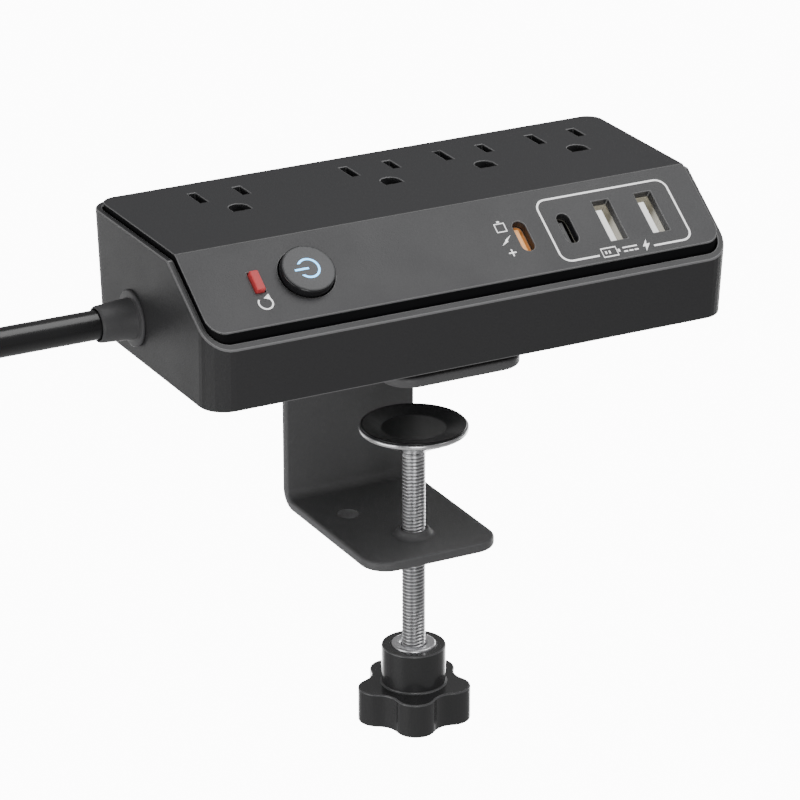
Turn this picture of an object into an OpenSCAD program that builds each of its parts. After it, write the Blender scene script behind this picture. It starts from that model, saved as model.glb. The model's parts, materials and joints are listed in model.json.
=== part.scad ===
// Clamp-on desk power strip: four grounded outlets, four USB ports, switch, breaker and cord.
// +X runs along the strip, -Y faces the user and +Z is up. The origin is on the clamp's screw
// axis, at the underside of the upper jaw, where the desk top touches it.

/* [Case] */
// Length of the case at its bottom edge
case_l = 153; // [150:1:160]
// Depth of the case at its bottom edge
case_d = 71.6; // [70:0.2:76]
// Height of the case's rim above its bottom
rim_z = 34.6; // [33:0.1:35]
// How far each end of the case leans out at the rim
flare_x = 0.75; // [0.5:0.05:1]
// How far the front of the case would lean out at rim height
flare_front = 2.1; // [1.8:0.1:2.4]
// How far the back of the case leans out at the rim
flare_rear = 1.4; // [1:0.1:1.6]
// Radius of the case's upright corners
case_r = 7; // [6:0.5:8]
// Thickness of the case's walls
case_wall = 1.8; // [1.6:0.1:2]

/* [Cover] */
// Height of the flat top above the case's bottom
top_z = 35.9; // [35.6:0.1:36.4]
// Where the flat top turns into the sloping control face
break_y = 22.8; // [21:0.2:25]
// Angle of the control face below the flat top
slope = 35.2; // [34:0.2:36]
// Front edge of the cover
cover_front = 1.7; // [1.4:0.1:2]
// Rear edge of the cover
cover_rear = 70.4; // [69:0.2:71]
// Gap from the case's end to the cover's end, at the case's bottom edge
cover_end = 1.25; // [1.2:0.05:1.6]
// Radius of the cover's corners
cover_r = 4.5; // [3.5:0.5:5.5]

/* [Clamp] */
// Width of the steel bracket
bracket_w = 39.6; // [38:0.2:44]
// Thickness of the bracket's steel
bracket_t = 2.8; // [2.5:0.1:3]
// Clear height between the bracket's jaws
jaw_h = 54.6; // [50:0.2:60]
// Reach of the upper jaw in front of the screw
upper_reach = 27.6; // [26:0.2:28]
// Reach of the lower jaw in front of the screw
lower_reach = 14.6; // [14:0.2:18]
// Distance from the screw to the back of the bracket
web_y = 39.7; // [38:0.1:42]
// Diameter of the clamp screw
screw_d = 6.4; // [6:0.1:8]
// Height of the pressure pad's rim below the upper jaw
pad_drop = 22.4; // [10:0.2:30]
// Radius of the pressure pad
pad_r = 14.8; // [13:0.1:16]

/* [Knob] */
// Radius of the knob over its lobes
knob_r = 15.9; // [14:0.1:18]
// Number of lobes on the knob
lobes = 5; // [5:1:6]
// Height of the star part of the knob
star_h = 9.9; // [8:0.1:12]
// Radius of the knob's hub
hub_r = 8.8; // [8:0.1:10]

/* [Cord] */
// Diameter of the cord
cord_d = 8; // [7:0.1:8.4]

/* [Hidden] */
$fn = 48;

// The screw axis, measured from the front left corner of the case's bottom edge.
screw_x = 72.8;
screw_y = 28.3;
// The case stands on the bracket with a thin foam pad between them.
foam_t = 1;
case_lift = bracket_t + foam_t;
floor_t = 2.2;

// Steps down through the cover, square to its top.
skin_t = 0.4;
plate_t = 2.4;
band_depth = 3.2;
rim_step = 1.6;

// Outlets: two blade slots and a round-backed ground hole each.
blade_gap = 12.7;
ground_gap = 11.9;
outlet_x = [24.9, 69.6, 98.1, 126.7];
blade_y = 59;
neutral_slot = [2.3, 8];
line_slot = [2.3, 6.5];
ground_r = 2.65;

// Controls and ports on the slope: x along the case, then distance down from the break.
reset_at = [19.2, 12.6];
power_at = [33.4, 12.6];
power_r = 7.3;
power_rise = 2.3;
reset_size = [2.5, 6.2];
reset_rise = 1.2;
usb_c_at = [[96.6, 13.4], [109.8, 13.5]];
usb_a_at = [[122.7, 13.3], [135.7, 13.2]];
usb_a_size = [5.1, 13.1];
usb_c_size = [3.7, 9.6];

// Strain relief and cord where they leave the left end.
gland_y = 45.8;
gland_z = 11.2;
boot_len = 10.2;
boot_r = 5.6;
boot_tip_r = 4.9;
ring_r = 7.6;

// Clamp heights.
bend_r = 2.7;
jaw_corner_r = 7.5;
flange_top = -jaw_h;
flange_bottom = -jaw_h - bracket_t;
collar_h = 1.8;
collar_r = 4.7;
collar_hole_r = 4;
run_gap = 0.06;
spare_hole_r = 3.25;
spare_hole_at = [-9.6, 19.9];
jaw_screws = [[-11, -12], [11, -12], [-11, 20], [11, 20]];
ball_z = -pad_drop - 5.2;
ball_r = 2.6;
neck_z = -pad_drop - 7.8;
neck_gap = 0.4;
knob_top = -87.4;
star_top = -98.6;
knob_bottom = star_top - star_h;
insert_r = 6.1;
screw_bottom = -104;

// Case screws, measured like the case.
case_screws = [[5.4, 9], [147.6, 9], [5.4, 62.5], [147.6, 62.5]];
post_top = [20, 20, 29, 29];

// The cord's coil lies on the desk top, and the plug lies on the coil.
coil_x = -195;
coil_y = -15;
coil_in = 34.5;
coil_out = 50.5;
layer_step = cord_d;
coil_top = cord_d + 2 * layer_step;
lead_points = [
  [-82.4, 17.5, 15], [-92, 17.5, 15], [-100, 17.5, 15], [-108, 17.5, 15], [-116, 17.5, 15],
  [-124, 18, 14], [-132, 19.5, 12.4], [-140, 21.5, 10.5], [-148, 24, 8.5], [-156, 26.7, 6.6],
  [-164, 29.4, 5], [-172, 31.8, 4.1], [-180, 33.8, 4], [-188, 35.1, 4], [-195, 35.5, 4]];
tail_points = [
  [-160.5, -15, 22], [-161.6, -6.6, 24], [-165, 1.2, 27], [-170, 8, 29.5],
  [-177, 13, 31.5], [-184.6, 16.4, 33], [-193, 17.5, 34], [-196, 17.5, 34]];
plug_x = -194;
plug_y = 17.5;
plug_z = 34;
plug_boot_l = 12;
plug_l = 28;
plug_w = 26;
plug_h = 19;
pin_l = 17;

// Places its children in the case's own frame: front left bottom corner, X along, Z up.
module on_case() {
  translate([-screw_x, -screw_y, case_lift]) children();
}

// Places its children on the control face: Z square out of it, Y up the slope.
module on_slope(at) {
  translate([at[0], break_y - at[1] * cos(slope), top_z - at[1] * sin(slope)])
    rotate([slope, 0, 0]) children();
}

// A rectangle with round corners, from [x0, y0] to [x1, y1].
module rounded_rect(x0, y0, x1, y1, r) {
  translate([x0 + r, y0]) square([x1 - x0 - 2 * r, y1 - y0]);
  translate([x0, y0 + r]) square([x1 - x0, y1 - y0 - 2 * r]);
  for (x = [x0 + r, x1 - r], y = [y0 + r, y1 - r]) translate([x, y]) circle(r = r);
}

// An outline drawn in Y and Z, run along X from x0 to x1.
module run_along_x(x0, x1) {
  translate([x0, 0, 0]) rotate([90, 0, 90]) linear_extrude(x1 - x0) children();
}

// A rod from a to b.
module rod(a, b, r) {
  d = b - a;
  translate(a) rotate([0, acos(d[2] / norm(d)), atan2(d[1], d[0])]) cylinder(r = r, h = norm(d));
}

// The case's flared block, inset all round, from z0 up to the rim's height plus extra.
module flared_block(inset, z0, extra) {
  function out(z) = z / rim_z;
  slice = 0.02;
  hull() for (z = [z0, rim_z + extra - slice]) {
    for (x = [[-flare_x * out(z) + inset, 1], [case_l + flare_x * out(z) - inset, -1]])
      for (y = [[-flare_front * out(z) + inset, 1], [case_d + flare_rear * out(z) - inset, -1]])
        translate([x[0] + x[1] * (case_r - inset), y[0] + y[1] * (case_r - inset), z])
          cylinder(r = case_r - inset, h = slice, $fn = 32);
  }
}

// The cover's top line, sunk by a, from in front of the case to behind it.
function top_line(a) = [
  [-10, top_z - (break_y + 10) * tan(slope) - a / cos(slope)],
  [break_y + a * tan(slope / 2), top_z - a],
  [case_d + 10, top_z - a]];

// The layer between two depths under the top line of the cover.
module cover_layer(a, b) {
  low = top_line(b);
  run_along_x(-5, case_l + 5) polygon(concat(top_line(a), [low[2], low[1], low[0]]));
}

// The cover's outline, inset all round, as a tall prism.
module cover_prism(inset) {
  linear_extrude(top_z + 1)
    rounded_rect(cover_end + inset, cover_front + inset, case_l - cover_end - inset,
      cover_rear - inset, cover_r - inset);
}

// Blade slots and ground holes, grown by g, cut from z0 to z1.
module outlet_holes(g, z0, z1) {
  for (x = outlet_x) translate([x, blade_y, z0]) {
    for (s = [[0, neutral_slot], [blade_gap, line_slot]])
      translate([s[0] - s[1][0] / 2 - g, -s[1][1] / 2 - g, 0])
        cube([s[1][0] + 2 * g, s[1][1] + 2 * g, z1 - z0]);
    translate([blade_gap / 2, -ground_gap + 0.4, 0]) {
      cylinder(r = ground_r + g, h = z1 - z0);
      translate([-ground_r - g, -2.5 - g, 0]) cube([2 * (ground_r + g), 2.5 + g, z1 - z0]);
    }
  }
}

// A slot with round ends, long along Y.
module oval(size, h) {
  for (y = [-1, 1]) translate([0, y * (size[1] - size[0]) / 2, 0]) cylinder(d = size[0], h = h);
  translate([-size[0] / 2, -(size[1] - size[0]) / 2, 0]) cube([size[0], size[1] - size[0], h]);
}

// A block centred in X and Y.
module block(size, z0, h) {
  translate([-size[0] / 2, -size[1] / 2, z0]) cube([size[0], size[1], h]);
}

module base_case() {
  color("#4a4a4d") on_case() difference() {
    union() {
      difference() {
        intersection() {
          flared_block(0, 0, 0);
          cover_layer(rim_step, 60);
        }
        flared_block(case_wall, floor_t, 1);
      }
      for (i = [0 : 3]) translate([case_screws[i][0], case_screws[i][1], 1])
        cylinder(r = 4.6, h = post_top[i] - 1);
    }
    for (i = [0 : 3]) translate([case_screws[i][0], case_screws[i][1], -1]) {
      cylinder(r = 1.7, h = 40);
      cylinder(r = 3.4, h = 4.5);
    }
    translate([-3, gland_y, gland_z]) rotate([0, 90, 0]) cylinder(r = boot_r + 0.05, h = 8);
  }
}

module top_cover() {
  color("#505053") on_case() difference() {
    union() {
      intersection() {
        cover_prism(0);
        cover_layer(0, skin_t);
      }
      intersection() {
        cover_prism(1.5);
        cover_layer(skin_t / 2, plate_t);
      }
      intersection() {
        cover_layer(skin_t, 60);
        for (i = [0 : 3]) translate([case_screws[i][0], case_screws[i][1], post_top[i] + 0.1])
          cylinder(r = 2.6, h = 20);
      }
    }
    for (i = [0 : 3]) translate([case_screws[i][0], case_screws[i][1], 0])
      cylinder(r = 1.5, h = post_top[i] + 1.6);
    outlet_holes(0, 30, 40);
    on_slope(power_at) translate([0, 0, -8]) cylinder(r = power_r + 0.35, h = 16);
    on_slope(reset_at) block(reset_size + [0.5, 0.5], -8, 16);
    for (at = usb_a_at) on_slope(at) block(usb_a_size, -8, 16);
    for (at = usb_c_at) on_slope(at) translate([0, 0, -8]) oval(usb_c_size, 16);
  }
}

module reveal_band() {
  color("#0b0b0c") on_case() intersection() {
    difference() {
      cover_prism(0.25);
      cover_prism(1.4);
    }
    cover_layer(skin_t + 0.02, band_depth);
  }
}

module contact_carrier() {
  color("#151516") on_case() difference() {
    translate([17, 42, 15.4]) cube([125.7, 26.5, 17.8]);
    translate([18.5, 43.5, 13]) cube([123.2, 23.5, 15.8]);
    outlet_holes(0.2, 20, 40);
  }
}

// Two spring leaves on a foot, centred on a blade or pin.
module contact(leaf_gap, leaf_l) {
  foot_w = leaf_gap + 2.4;
  for (s = [-1, 1]) translate([s * (leaf_gap / 2 + 0.4) - 0.4, -leaf_l / 2, 15.8])
    cube([0.8, leaf_l, 12]);
  translate([-foot_w / 2, -leaf_l / 2, 15]) cube([foot_w, leaf_l, 1]);
}

// A strip along X at y0 to y1 with one contact per outlet and an arm to it.
module busbar(dx, y, y0, y1, leaf_gap, leaf_l) {
  translate([outlet_x[0] + dx - 2, y0, 15]) cube([outlet_x[3] - outlet_x[0] + 4, y1 - y0, 1]);
  for (x = outlet_x) translate([x + dx, 0, 0]) {
    translate([0, y, 0]) contact(leaf_gap, leaf_l);
    translate([-1.5, min(y, y0), 15]) cube([3, max(y, y1) - min(y, y0), 1]);
  }
}

module neutral_busbar() {
  color("#c59a4a") on_case() busbar(0, blade_y, 64, 66.5, 1.4, 7);
}

module line_busbar() {
  color("#c59a4a") on_case() busbar(blade_gap, blade_y, 51.6, 54, 1.4, 7);
}

module ground_busbar() {
  color("#c59a4a") on_case()
    busbar(blade_gap / 2, blade_y - ground_gap, 44, 46.2, 4.6, 4.4);
}

module power_switch() {
  color("#1b1b1d") on_case() on_slope(power_at) difference() {
    block([15, 17, 0], -15, 9.5);
    translate([0, 0, -9.4]) cylinder(r = 2.3, h = 5);
  }
}

module power_button() {
  color("#1a1a1c") on_case() on_slope(power_at) difference() {
    union() {
      translate([0, 0, -3]) cylinder(r = power_r, h = 3.4);
      cylinder(r1 = power_r, r2 = power_r - 0.2, h = power_rise);
      translate([0, 0, -8]) cylinder(r = 2, h = 6);
    }
    power_ring(0.05, power_rise - 0.4, 1);
  }
}

// The power sign: a ring open on its left, and a bar that points left.
module power_ring(g, z0, h) {
  sign_r = 2.8;
  line_w = 0.6;
  translate([0, 0, z0]) {
    difference() {
      cylinder(r = sign_r + line_w / 2 + g, h = h);
      translate([0, 0, -1]) cylinder(r = sign_r - line_w / 2 - g, h = h + 2);
      translate([-5, -1.7 + g, -1]) cube([5, 3.4 - 2 * g, h + 2]);
    }
    translate([-3.9 - g, -line_w / 2 - g, 0]) cube([3.9 + 2 * g, line_w + 2 * g, h]);
  }
}

module power_symbol() {
  color("#9fdcf5") on_case() on_slope(power_at) power_ring(0, power_rise - 0.35, 0.37);
}

module reset_breaker() {
  color("#1b1b1d") on_case() on_slope(reset_at) difference() {
    block([9.6, 17, 0], -20, 14.5);
    block([1.8, 3.8, 0], -9, 4);
  }
}

module reset_button() {
  color("#e05a5a") on_case() on_slope(reset_at) {
    block(reset_size, -3.6, 3.6 + reset_rise);
    block([1.4, 3.4, 0], -7.4, 4.4);
  }
}

module main_board() {
  color("#1e5a34") on_case() difference() {
    translate([48, 14, 6]) cube([88, 26, 1.6]);
    for (x = [51, 133], y = [17, 37]) translate([x, y, 5]) cylinder(r = 1.6, h = 4);
  }
}

module transformer() {
  color("#d8b23c") on_case() {
    translate([62, 19, 7.6]) cube([18, 16, 4]);
    translate([65, 17.5, 7.6]) cube([12, 19, 13]);
    translate([62, 19, 16.6]) cube([18, 16, 4]);
  }
}

module capacitors() {
  color("#27324a") on_case() for (x = [53.5, 84], y = [24, 33])
    translate([x, y, 7.6]) cylinder(r = x < 60 ? 4 : 3.2, h = 13);
}

module usb_board() {
  color("#1e5a34") on_case() on_slope([115.6, 13.3])
    translate([-26.5, -9, -16.4]) cube([53, 18, 1.6]);
}

module usb_a_shells() {
  color("#b9b8ae") on_case() for (at = usb_a_at) on_slope(at) difference() {
    block(usb_a_size + [0.9, 0.9], -14.8, 12.2);
    block(usb_a_size + [0.1, 0.1], -14.3, 13);
  }
}

module usb_a_tongues() {
  color("#e9e9e6") on_case() for (at = usb_a_at) on_slope(at)
    translate([-2.2, -6.2, -14.3]) cube([2, 10.4, 13.3]);
}

module usb_c_shells() {
  color("#b9b9b9") on_case() for (at = usb_c_at) on_slope(at) difference() {
    translate([0, 0, -14.8]) oval(usb_c_size + [0.5, 0.5], 12.2);
    translate([0, 0, -14.4]) oval(usb_c_size - [0.4, 0.4], 13);
  }
}

// The plastic tongue in a USB-C port.
module usb_c_insert(at) {
  on_slope(at) translate([-0.9, -3.6, -14.4]) cube([1.5, 7.2, 12.4]);
}

module usb_c_fast_tongue() {
  color("#e08f35") on_case() usb_c_insert(usb_c_at[0]);
}

module usb_c_tongue() {
  color("#202022") on_case() usb_c_insert(usb_c_at[1]);
}

module cord_boot() {
  color("#5a5a5c") on_case() translate([0, gland_y, gland_z]) rotate([0, -90, 0]) difference() {
    wall_x = 0.1;
    union() {
      translate([0, 0, wall_x]) cylinder(r1 = boot_r, r2 = boot_tip_r, h = boot_len + 0.6);
      translate([0, 0, wall_x + 0.45]) cylinder(r = ring_r, h = 0.9);
      translate([0, 0, -3]) cylinder(r = boot_r, h = 3.2);
      translate([0, 0, -4.6]) cylinder(r = ring_r, h = 2.5);
      translate([0, 0, -13]) cylinder(r = 4.9, h = 9);
    }
    translate([0, 0, boot_len - 0.6]) cylinder(r = cord_d / 2 + 0.3, h = 4);
  }
}

module inner_cord() {
  color("#1a1a1b") on_case() translate([13, gland_y, gland_z]) rotate([0, 90, 0])
    cylinder(r = 3.9, h = 14);
}

module cord_clamp() {
  color("#2b2b2d") on_case() difference() {
    union() {
      translate([16, gland_y - 9, 2.3]) cube([7, 5, 6]);
      translate([16, gland_y - 9, 8.3]) cube([7, 5, 3]);
      translate([16, gland_y + 4.5, 2.3]) cube([7, 5, 9]);
      translate([16, gland_y - 9, 11.2]) cube([7, 18.5, 2]);
    }
    translate([10, gland_y, gland_z]) rotate([0, 90, 0]) cylinder(r = 3.95, h = 20);
    for (y = [-6.5, 7]) translate([19.5, gland_y + y, 4]) cylinder(r = 1.3, h = 12);
  }
}

module cord_clamp_screws() {
  color("#c9cacc") on_case() for (y = [-6.5, 7]) translate([19.5, gland_y + y, 4.2]) {
    cylinder(r = 1.25, h = 9);
    translate([0, 0, 9.05]) cylinder(r = 2.4, h = 0.7);
  }
}

module neutral_wire() {
  color("#e8e8e8") on_case()
    rod([27.8, 47.6, 11.5], [36, 64.5, 14], 0.9);
}

module line_wire() {
  color("#202020") on_case()
    rod([27.8, 45.8, 8.3], [33.4, 24.6, 13], 0.9);
}

module ground_wire() {
  color("#3f8f46") on_case()
    rod([27.8, 44, 11.5], [36, 45, 14.2], 0.9);
}

module case_screws() {
  color("#8b8c8f") on_case() for (i = [0 : 3])
    translate([case_screws[i][0], case_screws[i][1], 1]) difference() {
      union() {
        cylinder(r = 3, h = 2.4);
        cylinder(r = 1.48, h = post_top[i]);
      }
      for (a = [0, 90]) rotate([0, 0, a]) block([3.4, 0.8, 0], -1, 2.4);
    }
}

// The bracket's side view, in Y and Z: a C that opens towards the user.
module bracket_outline() {
  outer_r = bend_r + bracket_t;
  difference() {
    union() {
      translate([-upper_reach, 0]) square([upper_reach + web_y - outer_r, bracket_t]);
      translate([-lower_reach, flange_bottom])
        square([lower_reach + web_y - outer_r, bracket_t]);
      translate([web_y - bracket_t, flange_bottom + outer_r])
        square([bracket_t, jaw_h + 2 * bracket_t - 2 * outer_r]);
      for (z = [flange_bottom + outer_r, bracket_t - outer_r])
        translate([web_y - outer_r, z]) circle(r = outer_r);
    }
    for (z = [flange_bottom + outer_r, bracket_t - outer_r])
      translate([web_y - outer_r, z]) circle(r = bend_r);
    translate([web_y - 2 * outer_r - 2, flange_top])
      square([outer_r + 2, jaw_h]);
    translate([web_y - outer_r - 1, flange_bottom + outer_r])
      square([outer_r + 1 - bracket_t, jaw_h + 2 * bracket_t - 2 * outer_r]);
  }
}

// Rounds one front corner of a jaw whose front edge is at -reach.
module corner_cut(reach, side) {
  translate([side * (bracket_w / 2 - jaw_corner_r), jaw_corner_r - reach]) difference() {
    translate([side > 0 ? 0 : -jaw_corner_r - 1, -jaw_corner_r - 1])
      square([jaw_corner_r + 1, jaw_corner_r + 1]);
    circle(r = jaw_corner_r);
  }
}

// The whole bracket, kept between two heights.
module bracket_between(z0, z1) {
  color("#3a3a3d") difference() {
    intersection() {
      run_along_x(-bracket_w / 2, bracket_w / 2) bracket_outline();
      translate([-bracket_w, -60, z0]) cube([2 * bracket_w, 120, z1 - z0]);
    }
    for (side = [-1, 1]) {
      translate([0, 0, -5]) linear_extrude(bracket_t + 10) corner_cut(upper_reach, side);
      translate([0, 0, flange_bottom - 5]) linear_extrude(bracket_t + 10)
        corner_cut(lower_reach, side);
    }
    translate([0, 0, flange_bottom - 1]) cylinder(r = collar_hole_r, h = bracket_t + 2);
    translate([spare_hole_at[0], spare_hole_at[1], flange_bottom - 1])
      cylinder(r = spare_hole_r, h = bracket_t + 2);
    for (p = jaw_screws) translate([p[0], p[1], -0.01]) {
      cylinder(r = 2.1, h = bracket_t + 1);
      cylinder(r1 = 4.1, r2 = 2.1, h = 2);
    }
  }
}

module bracket_upper_jaw() {
  bracket_between(-bend_r, bracket_t);
}

module bracket_web() {
  color("#3a3a3d") translate([-bracket_w / 2, web_y - bracket_t, flange_top + bend_r])
    cube([bracket_w, bracket_t, jaw_h - 2 * bend_r]);
}

module bracket_lower_jaw() {
  bracket_between(flange_bottom, flange_top + bend_r);
}

module bracket_foam() {
  color("#101011") difference() {
    translate([-17, -25.6, bracket_t]) cube([34, 57, foam_t]);
    for (p = jaw_screws) translate([p[0], p[1], 0]) cylinder(r = 2.4, h = 10);
  }
}

module bracket_screws() {
  color("#2a2a2c") for (p = jaw_screws) translate([p[0], p[1], 0]) difference() {
    union() {
      translate([0, 0, 0.05]) cylinder(r1 = 3.9, r2 = 2, h = 1.9);
      cylinder(r = 2, h = case_lift - 0.02);
    }
    for (a = [45, 135]) rotate([0, 0, a]) block([4, 0.8, 0], -1, 2.2);
  }
}

module threaded_collar() {
  color("#3a3a3d") difference() {
    union() {
      translate([0, 0, flange_bottom]) cylinder(r = collar_hole_r, h = bracket_t + 0.5);
      translate([0, 0, flange_top]) cylinder(r1 = collar_r, r2 = collar_r - 0.4, h = collar_h);
    }
    translate([0, 0, flange_bottom - 1]) cylinder(r = screw_d / 2 + run_gap, h = 10);
  }
}

module clamp_screw() {
  color("#b5b6b8") difference() {
    translate([0, 0, screw_bottom]) cylinder(d = screw_d, h = neck_z - neck_gap - screw_bottom);
    translate([0, 0, neck_z - 9]) cylinder(r = 1.3, h = 10);
  }
}

module knob_insert() {
  color("#d5d6d8") difference() {
    translate([0, 0, -103]) cylinder(r = insert_r, h = knob_top + 103 - 0.1);
    translate([0, 0, -110]) cylinder(d = screw_d + 0.2, h = 30);
  }
}

// The lobed outline: round lobes joined by hollow arcs, as a distance from the knob's axis.
lobe_r = 5.5;
valley_r = 6;
lobe_c = knob_r - lobe_r;
half = 180 / lobes;
valley_c = lobe_c * cos(half) + sqrt(pow(lobe_r + valley_r, 2) - pow(lobe_c * sin(half), 2));
meet = [lobe_c, 0] + (lobe_r / (lobe_r + valley_r)) *
  ([valley_c * cos(half), valley_c * sin(half)] - [lobe_c, 0]);
meet_a = atan2(meet[1], meet[0]);
function lobe_edge(a) = lobe_c * cos(a) + sqrt(lobe_r * lobe_r - pow(lobe_c * sin(a), 2));
function valley_edge(a) = valley_c * cos(half - a)
  - sqrt(valley_r * valley_r - pow(valley_c * sin(half - a), 2));
function knob_edge(a) = a < meet_a ? lobe_edge(a) : valley_edge(a);
function fold(a) = abs(((a % (2 * half)) + 2 * half) % (2 * half) - half);

module clamp_knob() {
  steps = 120;
  color("#1c1c1e") difference() {
    union() {
      translate([0, 0, knob_bottom]) rotate([0, 0, -115]) linear_extrude(star_h)
        polygon([for (i = [0 : steps - 1]) let (a = 360 * i / steps)
          knob_edge(fold(a + half)) * [cos(a), sin(a)]]);
      translate([0, 0, star_top - 1]) cylinder(r = hub_r, h = knob_top - star_top + 1);
    }
    translate([0, 0, -103]) cylinder(r = insert_r, h = 30);
    translate([0, 0, screw_bottom - 0.1]) cylinder(d = screw_d + 0.2, h = 5);
  }
}

module swivel_ball() {
  color("#c4c5c7") {
    translate([0, 0, ball_z]) sphere(r = ball_r);
    translate([0, 0, neck_z - 8]) cylinder(r = 1.24, h = ball_z - neck_z + 8);
  }
}

module pad_cup() {
  color("#d3d4d6") difference() {
    rotate_extrude() polygon([[0, neck_z], [3.7, neck_z], [pad_r, -pad_drop - 1.8],
      [pad_r, -pad_drop - 0.5], [pad_r - 0.6, -pad_drop - 0.5], [pad_r - 0.6, -pad_drop - 1.4],
      [4.5, -pad_drop - 5.4], [4.5, -pad_drop - 2.8], [0, -pad_drop - 2.8]]);
    translate([0, 0, ball_z]) sphere(r = ball_r + 0.05);
    translate([0, 0, ball_z]) cylinder(r = ball_r + 0.05, h = 10);
    translate([0, 0, neck_z - 1]) cylinder(r = 1.7, h = 3);
  }
}

module pad_cover() {
  color("#0c0c0d") rotate_extrude() polygon([[0, -pad_drop - 2.4], [9, -pad_drop - 2.4],
    [pad_r - 0.7, -pad_drop - 1.1], [pad_r - 0.7, -pad_drop], [pad_r - 1.1, -pad_drop],
    [9, -pad_drop - 1.2], [0, -pad_drop - 1.2]]);
}

// A round tube of the cord's diameter, swept along a list of points.
module cord_tube(points) {
  sides = 10;
  count = len(points);
  function along(i) = points[min(i + 1, count - 1)] - points[max(i - 1, 0)];
  function level(v) = cross([0, 0, 1], v) / norm(cross([0, 0, 1], v));
  function lift(v) = cross(v, level(v)) / norm(v);
  rings = [for (i = [0 : count - 1]) let (v = along(i)) for (k = [0 : sides - 1])
    points[i] + cord_d / 2 * (cos(360 * k / sides) * level(v) + sin(360 * k / sides) * lift(v))];
  walls = [for (i = [0 : count - 2], k = [0 : sides - 1]) let (n = (k + 1) % sides)
    [i * sides + k, i * sides + n, (i + 1) * sides + n, (i + 1) * sides + k]];
  caps = [[for (k = [sides - 1 : -1 : 0]) k], [for (k = [0 : sides - 1]) (count - 1) * sides + k]];
  polyhedron(points = rings, faces = concat([for (w = walls) [w[3], w[2], w[1], w[0]]],
    [for (c = caps) [for (j = [len(c) - 1 : -1 : 0]) c[j]]]));
}

module cord_lead() {
  color("#161617") cord_tube(lead_points);
}

module cord_coil() {
  color("#161617") translate([coil_x, coil_y, 0]) rotate_extrude() {
    half_d = cord_d / 2;
    translate([coil_in - half_d, 0])
      rounded_rect(0, 0, coil_out - coil_in + cord_d, coil_top, half_d - 0.5);
  }
}

module cord_tail() {
  color("#161617") cord_tube(tail_points);
}

module plug_boot() {
  color("#1b1b1c") translate([plug_x, plug_y, plug_z]) rotate([0, -90, 0]) difference() {
    cylinder(r1 = 5.2, r2 = 7.5, h = plug_boot_l);
    translate([0, 0, -1]) cylinder(r = cord_d / 2 + 0.1, h = 3);
  }
}

module plug_body() {
  color("#1b1b1c") translate([plug_x - plug_boot_l - plug_l, plug_y, plug_z])
    rotate([90, 0, 90]) linear_extrude(plug_l)
      rounded_rect(-plug_w / 2, -plug_h / 2, plug_w / 2, plug_h / 2, 6);
}

// Where the plug's face is, with its pins' side view turned towards -X.
module on_plug_face() {
  translate([plug_x - plug_boot_l - plug_l, plug_y, plug_z]) rotate([0, -90, 0]) children();
}

module plug_blades() {
  color("#c9a65a") on_plug_face() for (y = [-1, 1])
    translate([1, y * blade_gap / 2 - 0.75, 0]) cube([6.3, 1.5, pin_l - 1]);
}

module plug_ground_pin() {
  color("#c9a65a") on_plug_face() translate([ground_gap / 2 - 13, 0, 0])
    cylinder(r = 2.38, h = pin_l + 1);
}

base_case();
top_cover();
reveal_band();
contact_carrier();
neutral_busbar();
line_busbar();
ground_busbar();
power_switch();
power_button();
power_symbol();
reset_breaker();
reset_button();
main_board();
transformer();
capacitors();
usb_board();
usb_a_shells();
usb_a_tongues();
usb_c_shells();
usb_c_fast_tongue();
usb_c_tongue();
cord_boot();
inner_cord();
cord_clamp();
cord_clamp_screws();
neutral_wire();
line_wire();
ground_wire();
case_screws();
bracket_upper_jaw();
bracket_web();
bracket_lower_jaw();
bracket_foam();
bracket_screws();
threaded_collar();
clamp_screw();
knob_insert();
clamp_knob();
swivel_ball();
pad_cup();
pad_cover();
cord_lead();
cord_coil();
cord_tail();
plug_boot();
plug_body();
plug_blades();
plug_ground_pin();
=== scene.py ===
import json
import math
import bmesh
import bpy
from mathutils import Matrix, Vector


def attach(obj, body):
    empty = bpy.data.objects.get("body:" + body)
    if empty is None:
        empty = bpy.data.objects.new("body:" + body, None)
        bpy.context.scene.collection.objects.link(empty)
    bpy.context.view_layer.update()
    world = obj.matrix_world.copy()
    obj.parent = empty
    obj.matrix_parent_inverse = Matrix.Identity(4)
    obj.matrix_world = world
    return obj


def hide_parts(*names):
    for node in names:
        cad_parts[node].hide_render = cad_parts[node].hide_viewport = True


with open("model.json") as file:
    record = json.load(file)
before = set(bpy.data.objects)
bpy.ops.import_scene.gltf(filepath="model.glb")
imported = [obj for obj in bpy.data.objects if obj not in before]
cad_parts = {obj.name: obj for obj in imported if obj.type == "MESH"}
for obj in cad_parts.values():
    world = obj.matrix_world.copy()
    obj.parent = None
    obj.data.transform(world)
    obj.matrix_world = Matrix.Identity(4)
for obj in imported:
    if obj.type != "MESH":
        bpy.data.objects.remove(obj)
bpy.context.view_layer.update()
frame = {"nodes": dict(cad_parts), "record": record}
NODES = frame["nodes"]
MM = 0.001
BASE = "case_and_bracket"

# The case's own frame, in mm: its front left bottom corner, and the line where the top meets the
# sloping control face.
CASE = Vector((-72.8, -28.3, 3.8))
SLOPE = math.radians(35.2)
TOP_Z = 35.9
BREAK_Y = 22.8
# Where the cord leaves the case's left wall, and the tip of its strain relief.
GLAND = (0, 45.8, 11.2)


def row(p):
    """A point in the case's frame, in mm, as a point of the shared frame in metres."""
    return (Vector(p) + CASE) * MM


def on_slope(x, s, out=0.0):
    """A point on the control face: x along the case, s down from the break, out of the face."""
    y = BREAK_Y - s * math.cos(SLOPE) - out * math.sin(SLOPE)
    z = TOP_Z - s * math.sin(SLOPE) + out * math.cos(SLOPE)
    return row((x, y, z))


def on_face(x, s):
    """The control face's frame at a point: X along the case, Z out of the face."""
    place = Matrix.Rotation(SLOPE, 4, "X")
    place.translation = on_slope(x, s)
    return place


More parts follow.
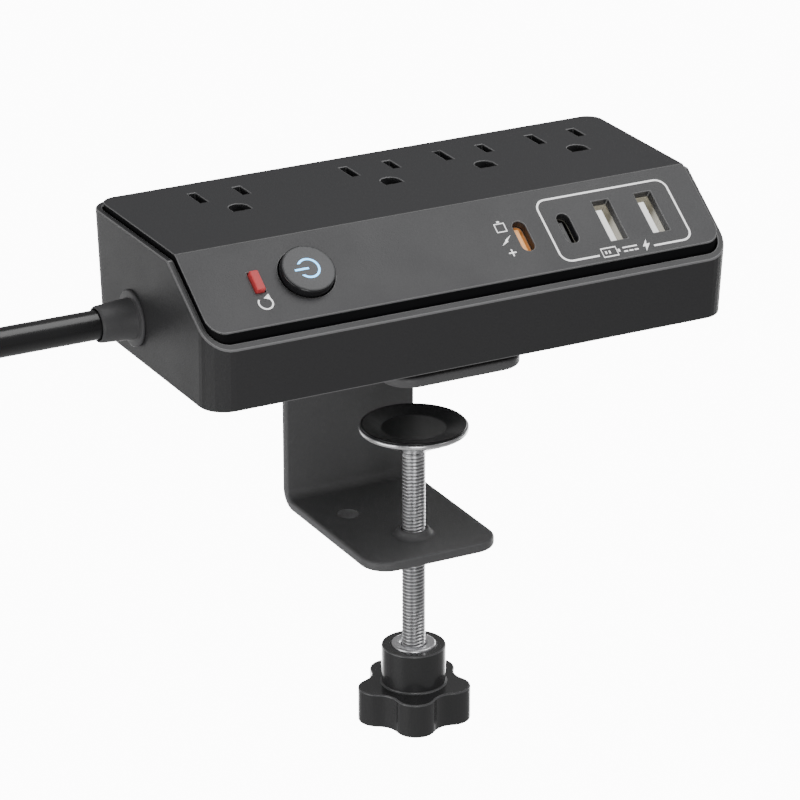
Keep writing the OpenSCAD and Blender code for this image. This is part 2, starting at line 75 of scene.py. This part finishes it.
def arc(cx, cy, r, a0, a1, n=10):
    """Points along an arc, from angle a0 to a1 in degrees."""
    steps = [math.radians(a0 + (a1 - a0) * i / n) for i in range(n + 1)]
    return [(cx + r * math.cos(a), cy + r * math.sin(a)) for a in steps]


def smooth(u):
    """A smooth step from 0 to 1."""
    u = min(1.0, max(0.0, u))
    return u * u * (3 - 2 * u)


def link_object(ob):
    bpy.context.scene.collection.objects.link(ob)
    return ob


# Camera, at the photograph's angle.
def add_camera():
    data = bpy.data.cameras.new("camera")
    data.lens = 191.56
    data.sensor_width = 36
    data.clip_end = 20
    right = Vector((0.88419688, -0.46711348, -0.00093614))
    up = Vector((0.17774517, 0.33459832, 0.92544617))
    ahead = Vector((0.43197515, 0.81844301, -0.37887796))
    place = Matrix((right, up, -ahead)).transposed().to_4x4()
    place.translation = Vector((-0.49311, -0.92644, 0.41390))
    ob = link_object(bpy.data.objects.new("camera", data))
    ob.matrix_world = place
    bpy.context.scene.camera = ob


add_camera()

# Materials: every one is made of nodes, with a fine grain and some wear in its roughness.
WEAR_SCALE = 60
WEAR = 0.06
GRAIN_DEPTH = 0.0001
MAT = {}


def add_node(tree, kind, inputs=(), **props):
    """A shader node with its properties set, and then its (input, value) pairs."""
    node = tree.nodes.new("ShaderNode" + kind)
    for name, value in props.items():
        setattr(node, name, value)
    for key, value in inputs:
        node.inputs[key].default_value = value
    return node


def material(name, color, rough=0.5, metal=0.0, grain=0.0, scale=900.0, coat=0.0, glow=0.0,
             spec=0.5, speckle=0.04):
    mat = bpy.data.materials.new(name)
    MAT[name] = mat
    mat.use_nodes = True
    tree = mat.node_tree
    link = tree.links.new
    shader = tree.nodes["Principled BSDF"]
    shader.inputs["Metallic"].default_value = metal
    shader.inputs["Coat Weight"].default_value = coat
    shader.inputs["Specular IOR Level"].default_value = spec
    place = add_node(tree, "TexCoord")
    wear = add_node(tree, "TexNoise", [("Scale", WEAR_SCALE), ("Detail", 3)])
    fine = add_node(tree, "TexNoise", [("Scale", scale), ("Detail", 4)])
    for noise in (wear, fine):
        link(place.outputs["Object"], noise.inputs["Vector"])
    dark = [c * (1 - speckle * 2) for c in color] + [1]
    light = [min(1, c * (1 + speckle * 2)) for c in color] + [1]
    mix = add_node(tree, "Mix", [("A", dark), ("B", light)], data_type="RGBA")
    link(fine.outputs["Fac"], mix.inputs["Factor"])
    link(mix.outputs["Result"], shader.inputs["Base Color"])
    sheen = add_node(tree, "MapRange", [("To Min", max(0.02, rough - WEAR)),
                                        ("To Max", min(1.0, rough + WEAR))])
    link(wear.outputs["Fac"], sheen.inputs["Value"])
    link(sheen.outputs["Result"], shader.inputs["Roughness"])
    if grain:
        bump = add_node(tree, "Bump", [("Strength", grain), ("Distance", GRAIN_DEPTH)])
        link(fine.outputs["Fac"], bump.inputs["Height"])
        link(bump.outputs["Normal"], shader.inputs["Normal"])
    if glow:
        shader.inputs["Emission Color"].default_value = list(color) + [1]
        shader.inputs["Emission Strength"].default_value = glow
    return mat


material("case_plastic", (0.040, 0.040, 0.042), 0.5, grain=0.5, scale=2600)
material("cover_plastic", (0.040, 0.040, 0.043), 0.48, grain=0.5, scale=2600)
material("band_black", (0.004, 0.004, 0.005), 0.7, grain=0.2, spec=0.2)
material("carrier_black", (0.012, 0.012, 0.012), 0.6, grain=0.3, spec=0.3)
material("contact_brass", (0.72, 0.50, 0.20), 0.3, 1.0, 0.15, 400)
material("button_black", (0.02, 0.02, 0.022), 0.22, grain=0.1, scale=2000, coat=0.3)
material("button_cap", (0.075, 0.076, 0.08), 0.42, grain=0.4, scale=2600)
material("symbol_glow", (0.14, 0.55, 1.0), 0.3, glow=3.4, speckle=0.01)
# The red reset button glows faintly: painted light, as it holds no lamp.
material("button_red", (0.70, 0.075, 0.08), 0.4, grain=0.1, glow=0.1, spec=0.25)
material("board_green", (0.02, 0.10, 0.04), 0.4, grain=0.3, scale=300)
material("winding_yellow", (0.60, 0.42, 0.05), 0.5, grain=0.4, scale=500)
material("can_blue", (0.02, 0.035, 0.09), 0.25, grain=0.1)
material("shell_steel", (0.62, 0.60, 0.54), 0.34, 1.0, 0.2, 900)
# The white and orange USB tongues glow: painted light, as nothing in them lights up.
material("tongue_white", (0.88, 0.88, 0.87), 0.4, grain=0.1, speckle=0.01, glow=0.75)
material("tongue_orange", (0.90, 0.42, 0.14), 0.4, grain=0.1, glow=0.6)
material("tongue_black", (0.015, 0.015, 0.017), 0.35, grain=0.1)
material("boot_grey", (0.095, 0.095, 0.098), 0.5, grain=0.5, scale=2200)
material("cord_pvc", (0.016, 0.016, 0.017), 0.28, grain=0.15, scale=700, coat=0.2)
material("wire_white", (0.7, 0.7, 0.69), 0.4, grain=0.1)
material("wire_black", (0.02, 0.02, 0.02), 0.4, grain=0.1)
material("wire_green", (0.03, 0.22, 0.06), 0.4, grain=0.1)
material("fastener_steel", (0.28, 0.28, 0.29), 0.35, 1.0, 0.2, 700)
material("bracket_paint", (0.125, 0.125, 0.128), 0.45, grain=0.5, scale=1800)
material("foam_black", (0.008, 0.008, 0.008), 0.9, grain=0.8, scale=1500, spec=0.2)
material("screw_zinc", (0.90, 0.90, 0.92), 0.28, 1.0, 0.1, 900)
material("knob_black", (0.034, 0.034, 0.035), 0.24, grain=0.15, scale=1600, coat=0.4)
# A lighter colour for the knob's bevelled edges: a painted highlight along them.
material("knob_edge_highlight", (0.11, 0.11, 0.113), 0.3, grain=0.4, scale=2000)
material("cup_chrome", (0.88, 0.88, 0.89), 0.24, 1.0, 0.05, 500)
material("pad_rubber", (0.010, 0.010, 0.011), 0.32, grain=0.2, scale=1400, coat=0.1)
material("plug_pvc", (0.018, 0.018, 0.019), 0.4, grain=0.4, scale=1500)
# Lighter colours for the bevelled edges of the cover and the case: painted highlights along them.
material("cover_edge_highlight", (0.2, 0.2, 0.204), 0.38, grain=0.3, scale=2600)
material("case_edge_highlight", (0.22, 0.22, 0.224), 0.4, grain=0.3, scale=2600)
# The white print glows: painted light that keeps the ink bright.
material("print_white", (0.88, 0.88, 0.88), 0.5, grain=0.1, speckle=0.01, glow=1.0)


def paint_thread_shade(mat, groove_shade, root, crest):
    """Paints shade into a metal's thread: darker from its crest radius, in metres round Z, down to the
    thread's root.
    """
    tree = mat.node_tree
    link = tree.links.new
    base = tree.nodes["Principled BSDF"].inputs["Base Color"]
    place = add_node(tree, "TexCoord")
    flat = add_node(tree, "VectorMath", [(1, (1, 1, 0))], operation="MULTIPLY")
    link(place.outputs["Object"], flat.inputs[0])
    radius = add_node(tree, "VectorMath", operation="LENGTH")
    link(flat.outputs["Vector"], radius.inputs[0])
    height = add_node(tree, "MapRange", [("From Min", root), ("From Max", crest)])
    link(radius.outputs["Value"], height.inputs["Value"])
    shade = add_node(tree, "Mix", [("A", groove_shade)], data_type="RGBA")
    link(base.links[0].from_socket, shade.inputs["B"])
    link(height.outputs["Result"], shade.inputs["Factor"])
    link(shade.outputs["Result"], base)


# Painted shade in the grooves of the clamp screw's thread.
paint_thread_shade(MAT["screw_zinc"], (0.3, 0.3, 0.305, 1), 0.0028, 0.0031)

for part in frame["record"]["subparts"]:
    NODES[part["node"]].data.materials.clear()
    NODES[part["node"]].data.materials.append(MAT[part["material_slot"]])


# Mesh building. Points are in mm, and each builder returns vertices or an object in metres.
def outline(bm, pts):
    """Vertices at (x, y, z) points in mm."""
    return [bm.verts.new(Vector(p) * MM) for p in pts]


def ring(bm, r, z, segs, x=0.0, y=0.0):
    """A circle of vertices round Z, or one vertex where it has no radius."""
    if r < 1e-6:
        return outline(bm, [(x, y, z)])
    turn = [2 * math.pi * k / segs for k in range(segs)]
    return outline(bm, [(x + r * math.cos(a), y + r * math.sin(a), z) for a in turn])


def skin(bm, rings):
    """Faces between each ring of vertices and the next."""
    for a, b in zip(rings, rings[1:]):
        n = max(len(a), len(b))
        for k in range(n):
            j = (k + 1) % n
            if len(a) == 1:
                bm.faces.new((a[0], b[k], b[j]))
            elif len(b) == 1:
                bm.faces.new((a[k], a[j], b[0]))
            else:
                bm.faces.new((a[k], a[j], b[j], b[k]))


def solid(bm, rings):
    """A closed solid through rings of vertices, with flat ends."""
    bm.faces.new(rings[0][::-1])
    bm.faces.new(rings[-1])
    skin(bm, rings)
    return bm


def prism(pts, z0, z1):
    """A straight prism along Z over an outline in X and Y."""
    bm = bmesh.new()
    return solid(bm, [outline(bm, [(x, y, z) for x, y in pts]) for z in (z0, z1)])


def cone(x, y, z0, z1, r0, r1, segs=48):
    bm = bmesh.new()
    return solid(bm, [ring(bm, r0, z0, segs, x, y), ring(bm, r1, z1, segs, x, y)])


def plain_object(name, bm):
    bmesh.ops.recalc_face_normals(bm, faces=bm.faces)
    mesh = bpy.data.meshes.new(name)
    bm.to_mesh(mesh)
    bm.free()
    return link_object(bpy.data.objects.new(name, mesh))


def shade_smooth(ob, angle):
    """Smooth shading, apart from edges sharper than an angle in degrees."""
    for p in ob.data.polygons:
        p.use_smooth = True
    ob.data.set_sharp_from_angle(angle=math.radians(angle))


def piece(name, bm, slot, body=BASE, mat=None, angle=35):
    """A finished piece of a body. It is shaded flat where its angle is 0."""
    bmesh.ops.remove_doubles(bm, verts=bm.verts, dist=1e-7)
    ob = plain_object(name, bm)
    if angle:
        shade_smooth(ob, angle)
    ob.data.materials.append(MAT[mat or slot])
    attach(ob, body)
    return ob


def turned(name, pts, slot, body, angle, place=None, segs=96):
    """A turned piece round Z, or round Z of a placed frame, from [radius, height] points."""
    bm = bmesh.new()
    skin(bm, [ring(bm, r, z, segs) for r, z in pts])
    ob = piece(name, bm, slot, body, angle=angle)
    if place:
        ob.data.transform(place)
    return ob


def soften(node, width, segs, clamp=True):
    """Small rounded edges on a CAD node, so that it catches the light as moulded parts do."""
    ob = NODES[node]
    weld = ob.modifiers.new("weld", "WELD")
    weld.merge_threshold = 2e-6
    plain = ob.modifiers.new("plain_faces", "DECIMATE")
    plain.decimate_type = "DISSOLVE"
    plain.angle_limit = math.radians(0.5)
    edges = ob.modifiers.new("edges", "BEVEL")
    edges.width = width * MM
    edges.segments = segs
    edges.limit_method = "ANGLE"
    edges.angle_limit = math.radians(30)
    edges.use_clamp_overlap = clamp
    edges.harden_normals = not clamp
    flat = ob.modifiers.new("flat_faces", "WEIGHTED_NORMAL")
    flat.weight = 100
    flat.keep_sharp = True


# The cord: straight out of the boot, down to the desk, and round a three-layer coil. The middle layer
# winds outwards and the other two inwards. The cord climbs where one layer passes over to the next,
# and CLIMB_LEAD and CLIMB are parts of a whole turn.
COIL = Vector((-195, -15, 0))
CORD_R = 3.97
R_IN, R_OUT, LAYER, LAYERS = 34.5, 50.5, 8.0, 3
TURN, STEP = 690.0, 15.0
CLIMB_LEAD, CLIMB = 0.12, 0.38
TAIL_ARC, TAIL_RISE = 54.0, 4.0
LEAD = [(-82.5, 17.5, 15), (-92, 17.5, 15), (-100, 17.5, 15), (-108, 17.5, 15), (-116, 17.5, 14.9),
        (-124, 18, 14), (-132, 19.4, 12.4), (-140, 21.5, 10.5), (-148, 24, 8.5), (-156, 26.7, 6.6),
        (-164, 29.4, 5), (-172, 31.8, 4.15), (-180, 33.8, 4), (-188, 35.1, 4)]
TAIL = [(-161.6, -6.6, 24.4), (-164.9, 1.2, 27), (-170, 8, 29.6), (-176.8, 13.1, 31.7),
        (-184.6, 16.4, 33.3), (-193, 17.5, 34), (-196, 17.5, 34)]


def coil_point(layer, deg):
    """A point of the coil, deg along a layer's winding."""
    inward = layer % 2 == 0
    r0, r1 = (R_OUT, R_IN) if inward else (R_IN, R_OUT)
    r = r0 + (r1 - r0) * deg / TURN
    a = math.radians(90 + TURN * layer + deg)
    z = LAYER * (layer + 0.5)
    if layer > 0:
        z += LAYER * (smooth((deg / 360 + CLIMB_LEAD) / CLIMB) - 1)
    if layer < LAYERS - 1:
        z += LAYER * smooth(((deg - TURN) / 360 + CLIMB_LEAD) / CLIMB)
    elif deg > TURN - TAIL_ARC:
        z += TAIL_RISE * smooth((deg - TURN + TAIL_ARC) / (2 * TAIL_ARC))
    return COIL + Vector((r * math.cos(a), r * math.sin(a), z))


def cord_route():
    route = [Vector(p) for p in LEAD]
    for layer in range(LAYERS):
        route += [coil_point(layer, STEP * k) for k in range(round(TURN / STEP))]
    route.append(coil_point(LAYERS - 1, TURN))
    return route + [Vector(p) for p in TAIL]


def cord_curve(route):
    """A round curve through the route, with handles a third of the way to each neighbour."""
    curve = bpy.data.curves.new("cord", "CURVE")
    curve.dimensions = "3D"
    spline = curve.splines.new("BEZIER")
    spline.bezier_points.add(len(route) - 1)
    for i, knot in enumerate(spline.bezier_points):
        before, here, after = route[max(i - 1, 0)], route[i], route[min(i + 1, len(route) - 1)]
        way = (after - before).normalized()
        knot.co = here * MM
        knot.handle_left_type = "FREE"
        knot.handle_right_type = "FREE"
        knot.handle_left = (here - way * (here - before).length / 3) * MM
        knot.handle_right = (here + way * (after - here).length / 3) * MM
    curve.bevel_depth = CORD_R * MM
    curve.bevel_resolution = 7
    curve.resolution_u = 6
    curve.use_fill_caps = True
    return curve


cord = link_object(bpy.data.objects.new("cord", cord_curve(cord_route())))
cord.data.materials.append(MAT["cord_pvc"])
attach(cord, BASE)
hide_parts("cord_lead", "cord_coil", "cord_tail")


# The clamp screw, with its real thread and a small chamfer at its tip.
def threaded_rod():
    z0, z1 = -104.0, -30.6
    radius, pitch, depth = 3.2, 1.0, 0.42
    root_edge, flank = 0.85, 0.7
    run_out, chamfer, chamfer_length = 1.2, 0.35, 0.5
    segs, rows_per_mm = 48, 8
    rows = int((z1 - z0) * rows_per_mm / pitch)
    bm = bmesh.new()
    rings = []
    for i in range(rows + 1):
        z = z0 + (z1 - z0) * i / rows
        fade = max(0.0, min(1.0, (z1 - z) / run_out, (z - z0) / run_out))
        tip = chamfer * (1 - min(1.0, (z1 - z) / chamfer_length))
        pts = []
        for k in range(segs):
            wave = abs(2 * ((z / pitch - k / segs) % 1.0) - 1)
            cut_in = depth * min(1.0, max(0.0, (root_edge - wave) / flank))
            r = radius - cut_in * fade - tip
            a = 2 * math.pi * k / segs
            pts.append((r * math.cos(a), r * math.sin(a), z))
        rings.append(outline(bm, pts))
    ob = piece("threaded_rod", solid(bm, rings), "screw_zinc", "screw_and_knob", angle=60)
    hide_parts("clamp_screw")


threaded_rod()

# Turned clamp pieces with rounded edges.
cup = turned("pressure_cup", [
    (1.8, -30.1), (3.2, -30.2), (3.6, -30.05), (4.2, -29.6), (13.9, -24.55), (14.5, -24.25),
    (14.74, -24.0), (14.8, -23.6), (14.78, -23.1), (14.6, -22.92), (14.35, -22.9), (14.2, -23.0),
    (14.15, -23.6)], "cup_chrome", "pressure_pad", 80)
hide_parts("pad_cup")
cover = turned("pressure_cover", [
    (0, -23.62), (8.4, -23.62), (8.9, -23.58), (9.25, -23.4), (13.5, -22.62), (13.8, -22.45),
    (14.05, -22.4), (14.25, -22.5), (14.3, -22.75), (14.2, -23.1), (13.9, -23.7), (0, -24.6)],
    "pad_rubber", "pressure_pad", 60)
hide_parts("pad_cover")
insert = turned("knob_bush", [
    (3.25, -88.6), (3.3, -87.7), (3.9, -86.95), (4.3, -86.85), (5.6, -86.85), (5.95, -87.0),
    (6.1, -87.3), (6.1, -103)], "screw_zinc", "screw_and_knob", 50)
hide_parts("knob_insert")
collar = turned("collar_boss", [
    (3.27, -57.3), (3.27, -53.2), (3.35, -52.95), (3.6, -52.8), (4.0, -52.82), (4.3, -52.95),
    (4.5, -53.3), (4.65, -53.8), (4.9, -54.2), (5.4, -54.5), (6.0, -54.59)], "bracket_paint", BASE, 70)
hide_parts("threaded_collar")


# The bracket: one bent strip with rounded edges, its corners, holes and countersinks cut out.
def cut(ob, cutters):
    """Takes the cutters away from an object's mesh."""
    for i, bm in enumerate(cutters):
        cutter = plain_object("cutter_%d" % i, bm)
        less = ob.modifiers.new("cut", "BOOLEAN")
        less.operation = "DIFFERENCE"
        less.solver = "EXACT"
        less.object = cutter
        graph = bpy.context.evaluated_depsgraph_get()
        mesh = bpy.data.meshes.new_from_object(ob.evaluated_get(graph))
        ob.modifiers.clear()
        ob.data = mesh
        bpy.data.objects.remove(cutter)


STRIP, BEND, HALF_WIDTH = 2.8, 2.7, 19.8
BACK_Y, LOW_Z = 39.7, -57.4
UPPER_REACH, LOWER_REACH = 27.6, 14.6
CORNER = 7.5
SCREW_HOLE, SPARE_HOLE, SPARE_AT = 4.0, 3.1, (-9.6, 19.9)
SINK_R, SHANK_R, SINK_DEPTH = 4.15, 2.1, 2.0
FIXINGS = [(x, y) for y in (-12, 20) for x in (-11, 11)]


def strip_outline():
    """The bracket's C section in Y and Z, round the outside of the bends and back along the inside."""
    outer = BEND + STRIP
    y, z_top, z_low = BACK_Y - outer, STRIP - outer, LOW_Z + outer
    pts = [(-UPPER_REACH, STRIP)] + arc(y, z_top, outer, 90, 0) + arc(y, z_low, outer, 0, -90)
    pts += [(-LOWER_REACH, LOW_Z), (-LOWER_REACH, LOW_Z + STRIP)]
    return pts + arc(y, z_low, BEND, -90, 0) + arc(y, z_top, BEND, 0, 90) + [(-UPPER_REACH, 0)]


def corner_cutter(side, reach, z0, z1):
    """What is cut from one front corner of a jaw to leave it round."""
    cx, cy, past = side * (HALF_WIDTH - CORNER), CORNER - reach, CORNER + 2
    pts = [(cx + side * past, cy), (cx + side * past, cy - past), (cx, cy - past)]
    pts += [(cx + side * x, cy + y) for x, y in arc(0, 0, CORNER, -90, 0)]
    return prism(pts if side > 0 else pts[::-1], z0, z1)


def make_bracket():
    bm = bmesh.new()
    ends = [outline(bm, [(x, y, z) for y, z in strip_outline()]) for x in (-HALF_WIDTH, HALF_WIDTH)]
    ob = plain_object("bent_bracket", solid(bm, ends))
    jaws = ((UPPER_REACH, -3, 6), (LOWER_REACH, LOW_Z - 3, LOW_Z + 6))
    cut(ob, [corner_cutter(side, *jaw) for jaw in jaws for side in (-1, 1)])
    edges = ob.modifiers.new("edges", "BEVEL")
    edges.width = 0.75 * MM
    edges.segments = 4
    edges.limit_method = "ANGLE"
    edges.angle_limit = math.radians(40)
    holes = [cone(x, y, LOW_Z - 1, LOW_Z + 4, r, r)
             for (x, y), r in (((0, 0), SCREW_HOLE), (SPARE_AT, SPARE_HOLE))]
    for x, y in FIXINGS:
        holes.append(cone(x, y, -0.1, SINK_DEPTH, SINK_R, SHANK_R))
        holes.append(cone(x, y, SINK_DEPTH - 0.1, 4, SHANK_R, SHANK_R))
    cut(ob, holes)
    ob.data.materials.clear()
    ob.data.materials.append(MAT["bracket_paint"])
    shade_smooth(ob, 26)
    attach(ob, BASE)
    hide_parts("bracket_upper_jaw", "bracket_web", "bracket_lower_jaw")


make_bracket()

# Printed marks on the control face: thin white ink that starts just below it and stands just proud. The
# ink glows, painted light that keeps it bright.
INK_DEPTH, INK_HEIGHT = -0.02, 0.03


def ink(name, polys):
    bm = bmesh.new()
    for poly in polys:
        solid(bm, [[bm.verts.new(on_slope(x, s, out)) for x, s in poly]
                   for out in (INK_DEPTH, INK_HEIGHT)])
    piece(name, bm, "cover_plastic", mat="print_white", angle=0)


def stroke(pts, w):
    """Quads along a line of points, w wide, closed if the line ends where it starts."""
    pts = [Vector(p) for p in pts]
    last = len(pts) - 1
    closed = (pts[0] - pts[-1]).length < 1e-6
    sides = []
    for i in range(last + 1):
        before = pts[(i - 1) % last] if closed else pts[max(i - 1, 0)]
        after = pts[(i + 1) % last] if closed else pts[min(i + 1, last)]
        way = (after - before).normalized()
        sides.append((pts[i], Vector((-way.y, way.x)) * w / 2))
    return [[tuple(p + u), tuple(q + v), tuple(q - v), tuple(p - u)]
            for (p, u), (q, v) in zip(sides, sides[1:])]


def frame_line():
    """The line round three ports, with a gap in its lower side for the charge marks."""
    left, right, upper, lower, r = 104.0, 143.5, 3.6, 23.7, 3.0
    pts = [(114.8, lower)] + arc(left + r, lower - r, r, 90, 180) + arc(left + r, upper + r, r, 180, 270)
    pts += arc(right - r, upper + r, r, 270, 360) + arc(right - r, lower - r, r, 0, 90)
    return stroke(pts + [(131.4, lower)], 0.55)


def charge_marks():
    """A battery, the direct-current sign and a charging bolt."""
    thin, thick = 0.4, 0.5
    marks = stroke([(115.9, 21.8), (120.3, 21.8), (120.3, 24.5), (115.9, 24.5), (115.9, 21.8)], thin)
    marks += stroke([(120.9, 22.7), (120.9, 23.6)], 0.6)
    for x in (117.0, 118.1):
        marks += stroke([(x, 22.7), (x, 23.6)], thick)
    marks += stroke([(122.2, 22.6), (126.6, 22.6)], thin)
    for x in (122.2, 123.8, 125.4):
        marks += stroke([(x, 23.8), (x + 1.2, 23.8)], thin)
    bolt = [[(129.9, 21.3), (128.1, 23.4), (129.3, 23.4)], [(129.1, 22.7), (130.5, 22.7), (128.6, 24.9)]]
    return marks + bolt


def fast_charge_marks():
    """Beside the first USB-C port, turned along the slope: a battery, a bolt and a plus."""
    thin, thick = 0.4, 0.5
    marks = [[(93.1, 12.4), (90.9, 13.7), (90.9, 14.5)], [(91.6, 13.3), (91.6, 14.3), (89.4, 15.3)]]
    marks += stroke([(89.9, 8.4), (92.7, 8.4), (92.7, 11.0), (89.9, 11.0), (89.9, 8.4)], thin)
    marks += stroke([(90.9, 7.8), (91.7, 7.8)], thick)
    return marks + stroke([(91.3, 16.8), (91.3, 19.0)], thin) + stroke([(90.2, 17.9), (92.4, 17.9)], thin)


def reset_mark():
    """Below the reset button: an arrow that turns back on itself."""
    return stroke(arc(19.2, 19.1, 1.9, -60, 220, 22), 0.45) + [[(20.9, 16.5), (21.1, 18.5), (19.2, 17.6)]]


ink("port_frame_line", frame_line())
ink("charge_marks", charge_marks())
ink("fast_charge_marks", fast_charge_marks())
ink("reset_mark", reset_mark())

# Power button: glossy side and satin top.
cap = turned("power_cap", [
    (7.2, -3), (7.3, -2.6), (7.3, 1.75), (7.22, 1.98), (7.02, 2.17), (6.75, 2.27), (6.5, 2.3), (0, 2.3)],
    "button_black", "power_button_body", 50, on_face(33.4, 12.6))
cap.data.materials.append(MAT["button_cap"])
out_of_face = Vector((0, -math.sin(SLOPE), math.cos(SLOPE)))
for p in cap.data.polygons:
    if p.normal.dot(out_of_face) > 0.9:
        p.material_index = 1
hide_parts("power_button")

# Strain relief: a ring against the wall and a short tapering sleeve.
boot_place = Matrix.Rotation(math.radians(-90), 4, "Y")
boot_place.translation = row(GLAND)
boot = turned("boot_sleeve", [
    (5.5, -12), (5.6, 0.2), (7.2, 0.25), (7.5, 0.35), (7.6, 0.6), (7.6, 0.9), (7.45, 1.12), (7.2, 1.2),
    (5.75, 1.2), (5.55, 1.25), (5.5, 1.4), (5.2, 6.0), (4.95, 10.0), (4.85, 10.55), (4.65, 10.85),
    (4.4, 10.9), (4.2, 10.75), (4.1, 10.4), (4.08, 9.7)], "boot_grey", BASE, 40, boot_place)
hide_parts("cord_boot")

# Rounded edges on the CAD nodes, in mm. The cover's and the case's keep their full width.
EDGES = {"reset_button": 0.75, "clamp_knob": 0.45, "plug_body": 1.6, "plug_boot": 0.8,
         "plug_blades": 0.4, "plug_ground_pin": 1.0, "usb_a_tongues": 0.2, "usb_c_fast_tongue": 0.3,
         "usb_c_tongue": 0.3, "usb_a_shells": 0.12, "usb_c_shells": 0.12, "case_screws": 0.2,
         "bracket_screws": 0.2, "contact_carrier": 0.3, "power_switch": 0.4, "reset_breaker": 0.4,
         "transformer": 0.5, "capacitors": 0.6, "cord_clamp": 0.4}
for n, w in EDGES.items():
    soften(n, w, 3 if w > 0.5 else 2)
soften("top_cover", 0.24, 2, clamp=False)
soften("base_case", 0.36, 2, clamp=False)
# The bevels of the cover, the case and the knob take the lighter edge colours: painted highlights along
# their edges.
for n, m in (("top_cover", "cover_edge_highlight"), ("base_case", "case_edge_highlight"), ("clamp_knob", "knob_edge_highlight")):
    NODES[n].data.materials.append(MAT[m])
    NODES[n].modifiers["edges"].material = 1


# Floor and light: a pale floor well below the clamp that glows behind the strip, a dim world, and
# large soft lamps.
FLOOR_Z, FLOOR_SIZE, FLOOR_GLOW = -0.74, 6, 12.0
WORLD = 0.26
BACKWARDS, SIDEWAYS = (0.467, 0.884, 0), (0.884, -0.467, 0)


def ramp(tree, value, start, end, low, high):
    """A smooth ramp of a value, from low at start to high at end."""
    node = add_node(tree, "MapRange", interpolation_type="SMOOTHSTEP", inputs=[
        ("From Min", start), ("From Max", end), ("To Min", low), ("To Max", high)])
    tree.links.new(value, node.inputs["Value"])
    return node.outputs["Result"]


def floor_material():
    """White, glowing from some way behind the object and less towards the sides."""
    mat = material("floor_white", (0.75, 0.75, 0.75), 0.9, speckle=0.001, spec=0.1)
    tree = mat.node_tree
    link = tree.links.new
    place = add_node(tree, "NewGeometry")
    back, side = [add_node(tree, "VectorMath", [(1, way)], operation="DOT_PRODUCT")
                  for way in (BACKWARDS, SIDEWAYS)]
    for node in (back, side):
        link(place.outputs["Position"], node.inputs[0])
    off = add_node(tree, "Math", operation="ABSOLUTE")
    link(side.outputs["Value"], off.inputs[0])
    glow = add_node(tree, "Math", operation="MULTIPLY")
    link(ramp(tree, back.outputs["Value"], 0.8, 1.08, 0.0, FLOOR_GLOW), glow.inputs[0])
    link(ramp(tree, off.outputs["Value"], 0.4, 0.65, 1.0, 0.1), glow.inputs[1])
    shader = tree.nodes["Principled BSDF"]
    shader.inputs["Emission Color"].default_value = (1, 1, 1, 1)
    link(glow.outputs["Value"], shader.inputs["Emission Strength"])
    return mat


def add_floor():
    bm = bmesh.new()
    bmesh.ops.create_grid(bm, x_segments=1, y_segments=1, size=FLOOR_SIZE)
    for v in bm.verts:
        v.co.z = FLOOR_Z
    floor = plain_object("floor", bm)
    floor.data.materials.append(floor_material())


def add_world():
    world = bpy.data.worlds.new("studio")
    bpy.context.scene.world = world
    world.use_nodes = True
    background = world.node_tree.nodes["Background"]
    background.inputs["Color"].default_value = (1, 1, 1, 1)
    background.inputs["Strength"].default_value = WORLD


def add_lamp(name, place, target, size, power):
    data = bpy.data.lights.new(name, "AREA")
    data.energy = power
    data.size = size
    ob = link_object(bpy.data.objects.new(name, data))
    ob.location = place
    ob.rotation_euler = (Vector(target) - Vector(place)).to_track_quat("-Z", "Y").to_euler()


add_floor()
add_world()
add_lamp("overhead", (0.46, -0.12, 1.0), (0, 0, 0), 0.9, 9)
add_lamp("left_side", (-1.2, -0.1, -0.05), (0, 0, 0), 0.9, 5.6)
add_lamp("clamp_fill", (-0.3, -0.75, 0.0), (0, 0, -0.07), 0.35, 1.3)
add_lamp("right_rim", (0.8, 0.45, -0.1), (0, 0, -0.05), 0.5, 2.5)
